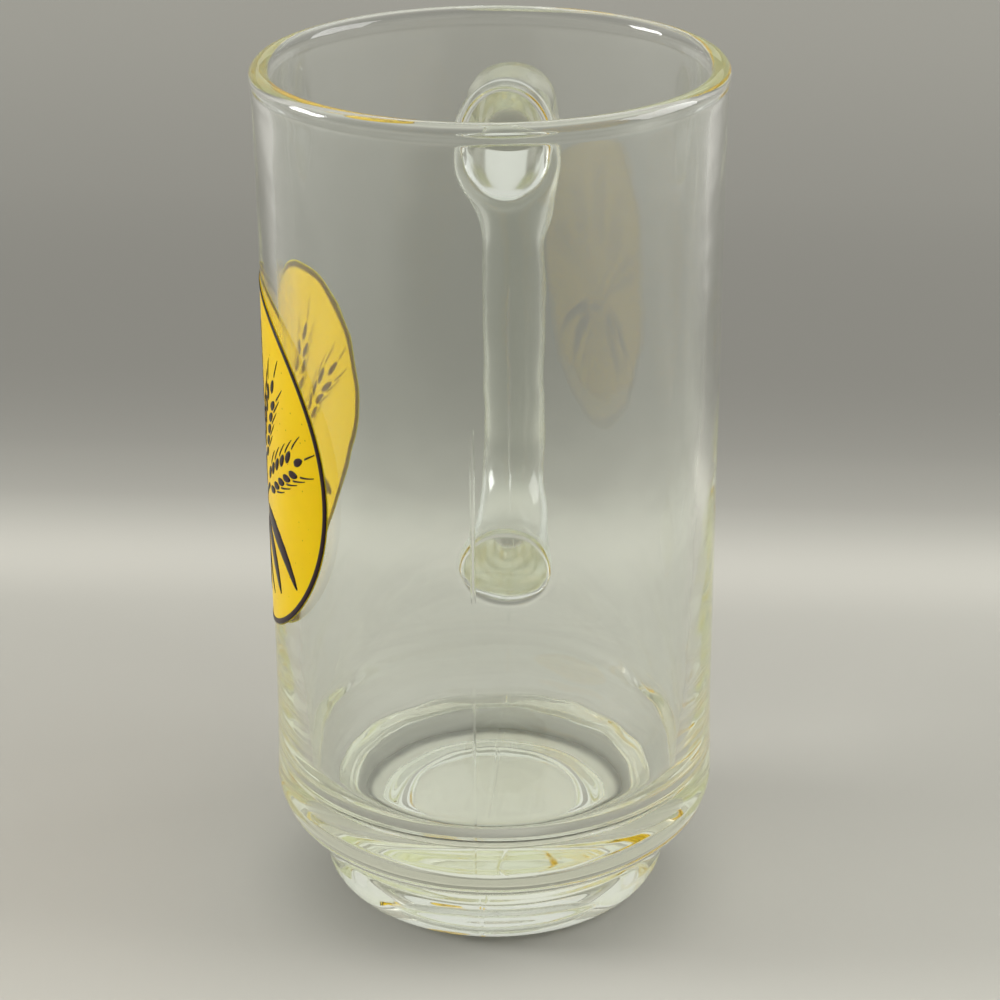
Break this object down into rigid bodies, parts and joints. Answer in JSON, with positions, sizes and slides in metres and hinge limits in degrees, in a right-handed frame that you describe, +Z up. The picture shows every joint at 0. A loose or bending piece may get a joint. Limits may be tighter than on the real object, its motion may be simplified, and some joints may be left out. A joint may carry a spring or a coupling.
{
  "type": "beer mug",
  "caption": "Tall straight-sided beer mug of clear pressed glass on a narrower stacking foot, with a fused glass handle and a round enamel badge on the wall.",
  "frame": {"origin": "on the axis of the mug, in the plane of the flat ring under its foot, which it stands on", "axes": "+Z up along the axis of the mug, +Y from the axis towards the handle, -X from the axis towards the badge, whose middle is 3 degrees past -X, away from the handle"},
  "size_m": [0.08, 0.116, 0.153],
  "materials": {
    "glass": "fire-polished clear soda-lime glass with a faint yellow-green tint",
    "yellow_enamel": "fired gloss ceramic enamel, warm yellow",
    "dark_enamel": "fired gloss ceramic enamel, purple-brown"
  },
  "bodies": {
    "root": {"vessel": "glass", "handle": "glass", "badge_ground": "yellow_enamel", "badge_border": "dark_enamel", "sheaf_grains": "dark_enamel", "sheaf_awns": "dark_enamel", "sheaf_straw": "dark_enamel", "sheaf_leaves": "dark_enamel", "sheaf_tie": "dark_enamel"}
  },
  "joints": []
}
